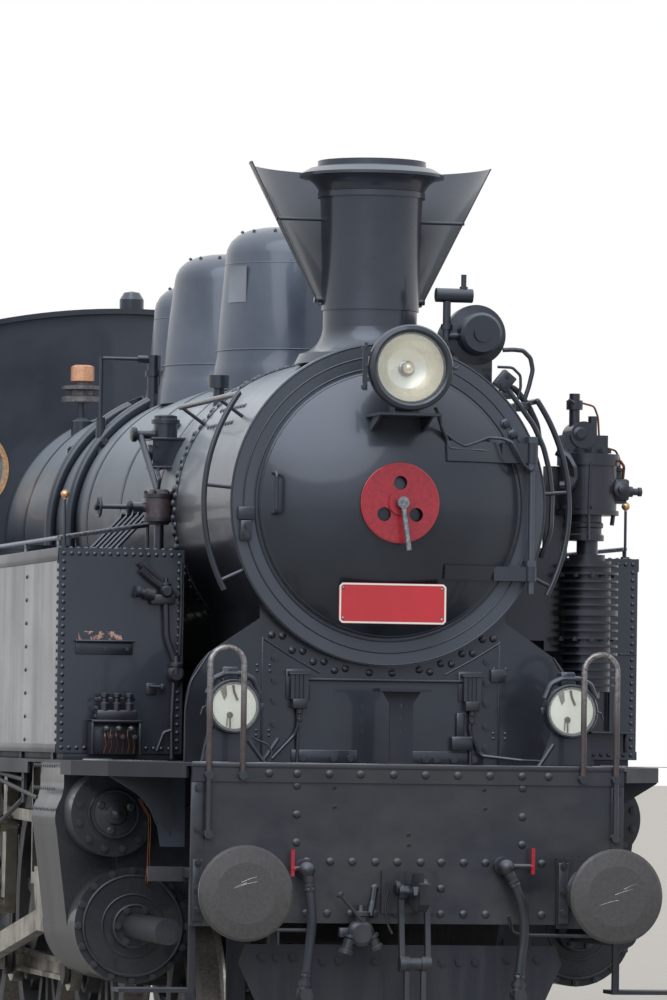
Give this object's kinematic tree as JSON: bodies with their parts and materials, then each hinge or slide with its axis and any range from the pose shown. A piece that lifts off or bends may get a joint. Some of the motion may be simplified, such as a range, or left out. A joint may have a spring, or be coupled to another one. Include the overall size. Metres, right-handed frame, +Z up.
{
  "type": "steam locomotive",
  "caption": "Side-tank steam locomotive with inside plate frame, coupled driving wheels, outside cylinders, hinged smokebox door, open coal bunker and enclosed cab.",
  "frame": {"origin": "on the floor under the wheel flanges, at mid length and on the centreline; the rail top is 28 mm above it", "axes": "+Y runs from the front buffers to the rear buffers, +X to the locomotive's left side, +Z up"},
  "size_m": [2.95, 11.6, 4.5738],
  "materials": {
    "black_paint": "semi-gloss black enamel",
    "smokebox_black": "heat-worn black smokebox paint",
    "frame_black": "matt black frame paint with oil and dust",
    "beam_black": "brown-black beam paint, dusty",
    "rod_steel": "machined steel, oily",
    "buffer_steel": "greasy worn steel",
    "wheel_black": "black paint, bright tread",
    "iron": "cast iron, oily",
    "plate_red": "red enamel",
    "hose_rubber": "black rubber hose",
    "glass": "clear glass"
  },
  "bodies": {
    "root": {"air_pump": "iron", "air_reservoirs": "frame_black", "axle_boxes": "iron", "boiler": "black_paint", "boiler_fittings": "black_paint", "brake_gear": "frame_black", "buffer_beams": "beam_black", "buffers": "buffer_steel", "cab_back": "black_paint", "cab_fittings": "iron", "cab_floor": "black_paint", "cab_front": "black_paint", "cab_glass": "glass", "cab_roof": "black_paint", "cab_sides": "black_paint", "chimney": "smokebox_black", "chimney_wings": "smokebox_black", "coal_bunker": "black_paint", "cylinders": "black_paint", "dome_front": "black_paint", "dome_middle": "black_paint", "dome_rear": "black_paint", "draw_gear": "iron", "firebox": "frame_black", "guard_plate": "frame_black", "guide_bars": "rod_steel", "handrails": "black_paint", "hose_couplings": "iron", "hose_front_left": "hose_rubber", "hose_front_right": "hose_rubber", "main_frame": "frame_black", "marker_lamps": "black_paint", "running_boards": "frame_black", "saddle": "smokebox_black", "side_tanks": "black_paint", "smokebox": "smokebox_black", "steps": "frame_black", "turbo_generator": "black_paint", "valve_gear_left": "rod_steel", "valve_gear_right": "rod_steel"},
    "smokebox_door": {"smokebox_door": "smokebox_black", "number_plate": "plate_red", "headlamp": "black_paint"},
    "wheelset_leading": {"wheelset_leading": "wheel_black"},
    "wheelset_driving_front": {"wheelset_driving_front": "wheel_black"},
    "wheelset_driving_main": {"wheelset_driving_main": "wheel_black"},
    "wheelset_driving_rear": {"wheelset_driving_rear": "wheel_black"},
    "wheelset_trailing": {"wheelset_trailing": "wheel_black"},
    "coupling_rod_right": {"coupling_rod_right": "rod_steel"},
    "crosshead_right": {"crosshead_right": "rod_steel"},
    "connecting_rod_right": {"connecting_rod_right": "rod_steel"},
    "cab_door_right": {"cab_door_right": "black_paint"},
    "tank_lid_right": {"tank_lid_right": "black_paint"},
    "coupling_rod_left": {"coupling_rod_left": "rod_steel"},
    "crosshead_left": {"crosshead_left": "rod_steel"},
    "connecting_rod_left": {"connecting_rod_left": "rod_steel"},
    "cab_door_left": {"cab_door_left": "black_paint"},
    "tank_lid_left": {"tank_lid_left": "black_paint"}
  },
  "joints": [
    {"name": "axle_leading_turn", "type": "hinge", "parent": "root", "child": "wheelset_leading", "pos_m": [0, -4.03, 0.463], "axis": [1, 0, 0], "continuous": true},
    {"name": "axle_driving_front_turn", "type": "hinge", "parent": "root", "child": "wheelset_driving_front", "pos_m": [0, -1.78, 0.815], "axis": [1, 0, 0], "continuous": true},
    {"name": "axle_driving_main_turn", "type": "hinge", "parent": "root", "child": "wheelset_driving_main", "pos_m": [0, -0.02, 0.815], "axis": [1, 0, 0], "continuous": true},
    {"name": "axle_driving_rear_turn", "type": "hinge", "parent": "root", "child": "wheelset_driving_rear", "pos_m": [0, 1.74, 0.815], "axis": [1, 0, 0], "continuous": true},
    {"name": "axle_trailing_turn", "type": "hinge", "parent": "root", "child": "wheelset_trailing", "pos_m": [0, 4.03, 0.463], "axis": [1, 0, 0], "continuous": true},
    {"name": "coupling_rod_right_turn", "type": "hinge", "parent": "wheelset_driving_main", "child": "coupling_rod_right", "pos_m": [-0.895, 0.23456, 0.56044], "axis": [1, 0, 0], "continuous": true},
    {"name": "crosshead_right_slide", "type": "slide", "parent": "root", "child": "crosshead_right", "axis": [0, 1, 0], "range_m": [-0.6354, 0.0849]},
    {"name": "connecting_rod_right_swing", "type": "hinge", "parent": "crosshead_right", "child": "connecting_rod_right", "pos_m": [-1.1, -2.09389, 0.878], "axis": [1, 0, 0], "range_deg": [-2.6, 15.03]},
    {"name": "coupling_rod_left_turn", "type": "hinge", "parent": "wheelset_driving_main", "child": "coupling_rod_left", "pos_m": [0.895, -0.27456, 0.56044], "axis": [1, 0, 0], "continuous": true},
    {"name": "crosshead_left_slide", "type": "slide", "parent": "root", "child": "crosshead_left", "axis": [0, 1, 0], "range_m": [-0.1263, 0.594]},
    {"name": "connecting_rod_left_swing", "type": "hinge", "parent": "crosshead_left", "child": "connecting_rod_left", "pos_m": [1.1, -2.603, 0.878], "axis": [1, 0, 0], "range_deg": [-2.6, 15.03]},
    {"name": "smokebox_door_hinge", "type": "hinge", "parent": "root", "child": "smokebox_door", "pos_m": [0.683, -4.85, 2.904], "axis": [0, 0, 1], "range_deg": [0, 120]},
    {"name": "cab_door_left_hinge", "type": "hinge", "parent": "root", "child": "cab_door_left", "pos_m": [1.404, 2.766, 2.228], "axis": [0, 0, 1], "range_deg": [0, 95]},
    {"name": "cab_door_right_hinge", "type": "hinge", "parent": "root", "child": "cab_door_right", "pos_m": [-1.404, 2.766, 2.228], "axis": [0, 0, -1], "range_deg": [0, 95]},
    {"name": "tank_lid_left_hinge", "type": "hinge", "parent": "root", "child": "tank_lid_left", "pos_m": [0.9, -1.2, 2.767], "axis": [0, -1, 0], "range_deg": [0, 100]},
    {"name": "tank_lid_right_hinge", "type": "hinge", "parent": "root", "child": "tank_lid_right", "pos_m": [-0.9, -1.2, 2.767], "axis": [0, 1, 0], "range_deg": [0, 100]}
  ],
  "couplings": [
    {"joint": "axle_driving_front_turn", "follows": "axle_driving_main_turn", "ratio": 1},
    {"joint": "axle_driving_rear_turn", "follows": "axle_driving_main_turn", "ratio": 1},
    {"joint": "coupling_rod_right_turn", "follows": "axle_driving_main_turn", "ratio": -1},
    {"joint": "coupling_rod_left_turn", "follows": "axle_driving_main_turn", "ratio": -1}
  ]
}
